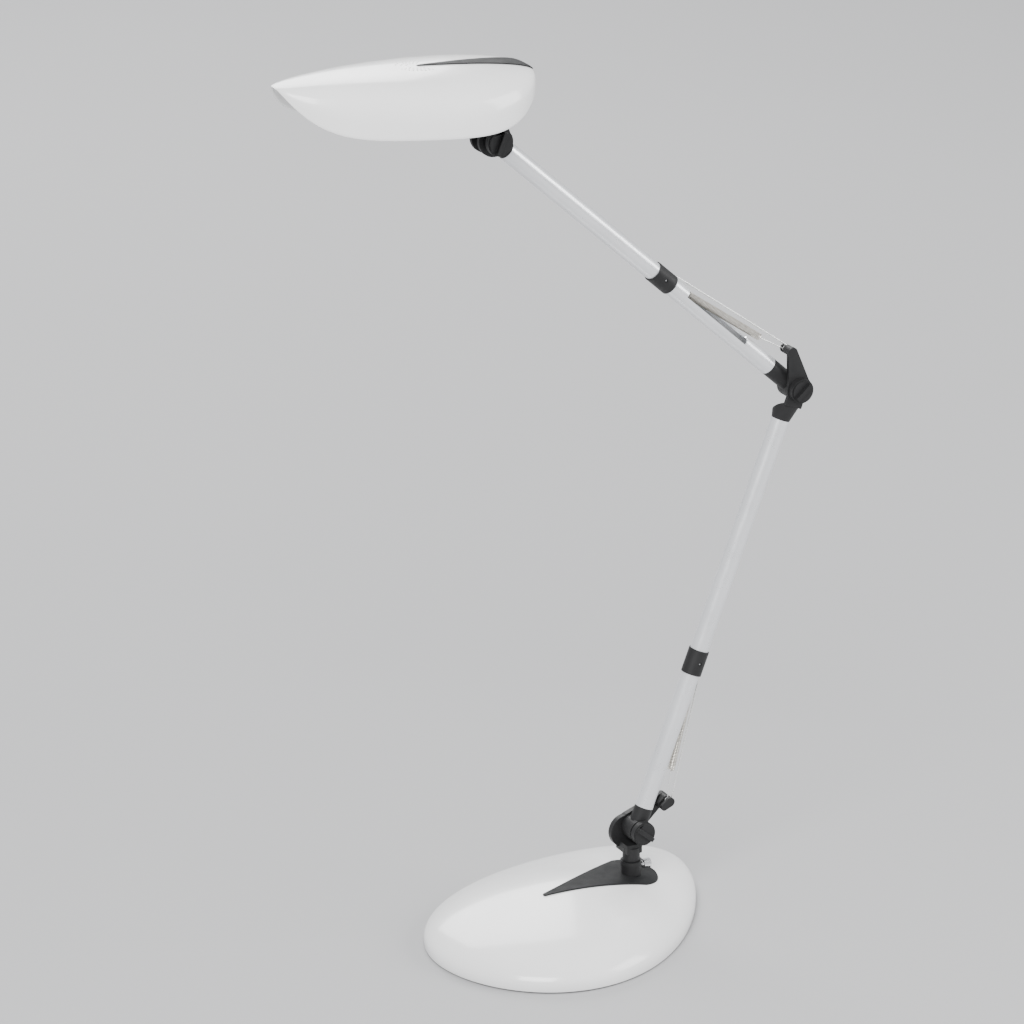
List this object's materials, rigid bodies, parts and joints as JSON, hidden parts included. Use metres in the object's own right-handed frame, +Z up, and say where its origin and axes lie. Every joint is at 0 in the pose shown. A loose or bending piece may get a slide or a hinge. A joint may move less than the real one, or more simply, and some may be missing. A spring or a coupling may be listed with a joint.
{
  "type": "swing arm desk lamp",
  "caption": "Desk lamp with an egg-shaped weighted base, sprung tube arms that fold at shoulder and elbow, and a long oval shade that tilts and swivels.",
  "frame": {"origin": "on the table, under the middle of the swivel post", "axes": "+Z up; at rest the arms stand in the XZ plane, with the elbow towards +X and the shade's tip towards -X"},
  "size_m": [0.5003, 0.2331, 0.7984],
  "materials": {
    "white_shell": "gloss white moulded shell",
    "dark_inlay": "satin dark grey",
    "black_plastic": "matte black, lightly textured",
    "silver_tube": "satin silver painted steel tube",
    "zinc_steel": "zinc plated",
    "chrome": "bright chrome",
    "iron_weight": "plain cast iron",
    "rubber_pad": "matte rubber sheet",
    "spring_steel": "oiled spring wire",
    "bright_wire": "bright drawn wire",
    "cable_sheath": "soft black sheath",
    "reflector": "bright aluminium sheet",
    "lamp_glass": "white coated glass",
    "cream_plastic": "off-white moulding"
  },
  "bodies": {
    "base": {"base_pad": "rubber_pad", "base_weight": "iron_weight", "base_cover": "white_shell", "base_inlay": "dark_inlay", "post_socket": "black_plastic", "base_spacer": "zinc_steel", "base_nut": "zinc_steel", "cover_bosses": "white_shell", "base_screws": "zinc_steel", "cord_gland": "black_plastic"},
    "set_screw": {"set_screw": "chrome"},
    "swivel": {"swivel_yoke": "black_plastic", "shoulder_nut": "zinc_steel", "shoulder_washer": "zinc_steel"},
    "shoulder_knob": {"shoulder_knob": "black_plastic", "shoulder_bolt": "zinc_steel"},
    "lower_arm": {"lower_foot": "black_plastic", "lower_tube": "silver_tube", "lower_collar": "black_plastic", "lower_collar_pin": "zinc_steel", "lower_spring": "spring_steel", "lower_spring_wire": "bright_wire", "lower_cable": "cable_sheath", "elbow_bracket": "black_plastic", "elbow_washer": "zinc_steel"},
    "elbow_knob": {"elbow_knob": "black_plastic", "elbow_bolt": "zinc_steel"},
    "upper_arm": {"upper_foot": "black_plastic", "upper_tube": "silver_tube", "upper_collar": "black_plastic", "upper_collar_pin": "zinc_steel", "upper_spring": "spring_steel", "upper_spring_wire": "bright_wire", "upper_cable": "cable_sheath", "upper_tip": "black_plastic", "elbow_nut": "zinc_steel"},
    "head_bracket": {"head_bracket": "black_plastic", "head_nut": "zinc_steel"},
    "head_knob": {"head_knob": "black_plastic", "head_bolt": "zinc_steel"},
    "head": {"swivel_stem": "black_plastic", "stem_clip": "zinc_steel", "stem_nut": "zinc_steel", "shade": "white_shell", "shade_posts": "white_shell", "shade_inlay": "dark_inlay", "head_frame": "zinc_steel", "frame_screws": "zinc_steel", "reflector": "reflector", "lamp_holder": "cream_plastic", "lamp_base": "cream_plastic", "lamp_tube": "lamp_glass", "switch_housing": "black_plastic"},
    "switch": {"switch_rocker": "black_plastic"}
  },
  "joints": [
    {"name": "base_swivel", "type": "hinge", "parent": "base", "child": "swivel", "pos_m": [0, 0, 0.04418], "axis": [0, 0, 1], "range_deg": [-170, 170]},
    {"name": "set_screw_turn", "type": "hinge", "parent": "base", "child": "set_screw", "pos_m": [0.012, 0, 0.04418], "axis": [1, 0, 0], "range_deg": [0, 360]},
    {"name": "shoulder_tilt", "type": "hinge", "parent": "swivel", "child": "lower_arm", "pos_m": [0.00475, 0, 0.079], "axis": [0, 1, 0], "range_deg": [-30, 10], "deforming": ["lower_spring_wire"]},
    {"name": "shoulder_knob_turn", "type": "hinge", "parent": "swivel", "child": "shoulder_knob", "pos_m": [0.00475, -0.01, 0.079], "axis": [0, 1, 0], "range_deg": [0, 360]},
    {"name": "elbow_tilt", "type": "hinge", "parent": "lower_arm", "child": "upper_arm", "pos_m": [0.15435, 0, 0.46073], "axis": [0, 1, 0], "range_deg": [-35, 12], "deforming": ["upper_spring_wire"]},
    {"name": "elbow_knob_turn", "type": "hinge", "parent": "lower_arm", "child": "elbow_knob", "pos_m": [0.15435, -0.016, 0.46073], "axis": [0, 1, 0], "range_deg": [0, 360]},
    {"name": "head_tilt", "type": "hinge", "parent": "upper_arm", "child": "head_bracket", "pos_m": [-0.13753, 0, 0.72539], "axis": [0, 1, 0], "range_deg": [-40, 40]},
    {"name": "head_knob_turn", "type": "hinge", "parent": "head_bracket", "child": "head_knob", "pos_m": [-0.13753, -0.012, 0.72539], "axis": [0, 1, 0], "range_deg": [0, 360]},
    {"name": "head_swivel", "type": "hinge", "parent": "head_bracket", "child": "head", "pos_m": [-0.14023, 0, 0.74561], "axis": [0.0645, 0, 0.9979], "range_deg": [-90, 90]},
    {"name": "switch_rock", "type": "hinge", "parent": "head", "child": "switch", "pos_m": [-0.15784, 0, 0.7461], "axis": [0, 1, 0], "range_deg": [-7, 7]}
  ]
}
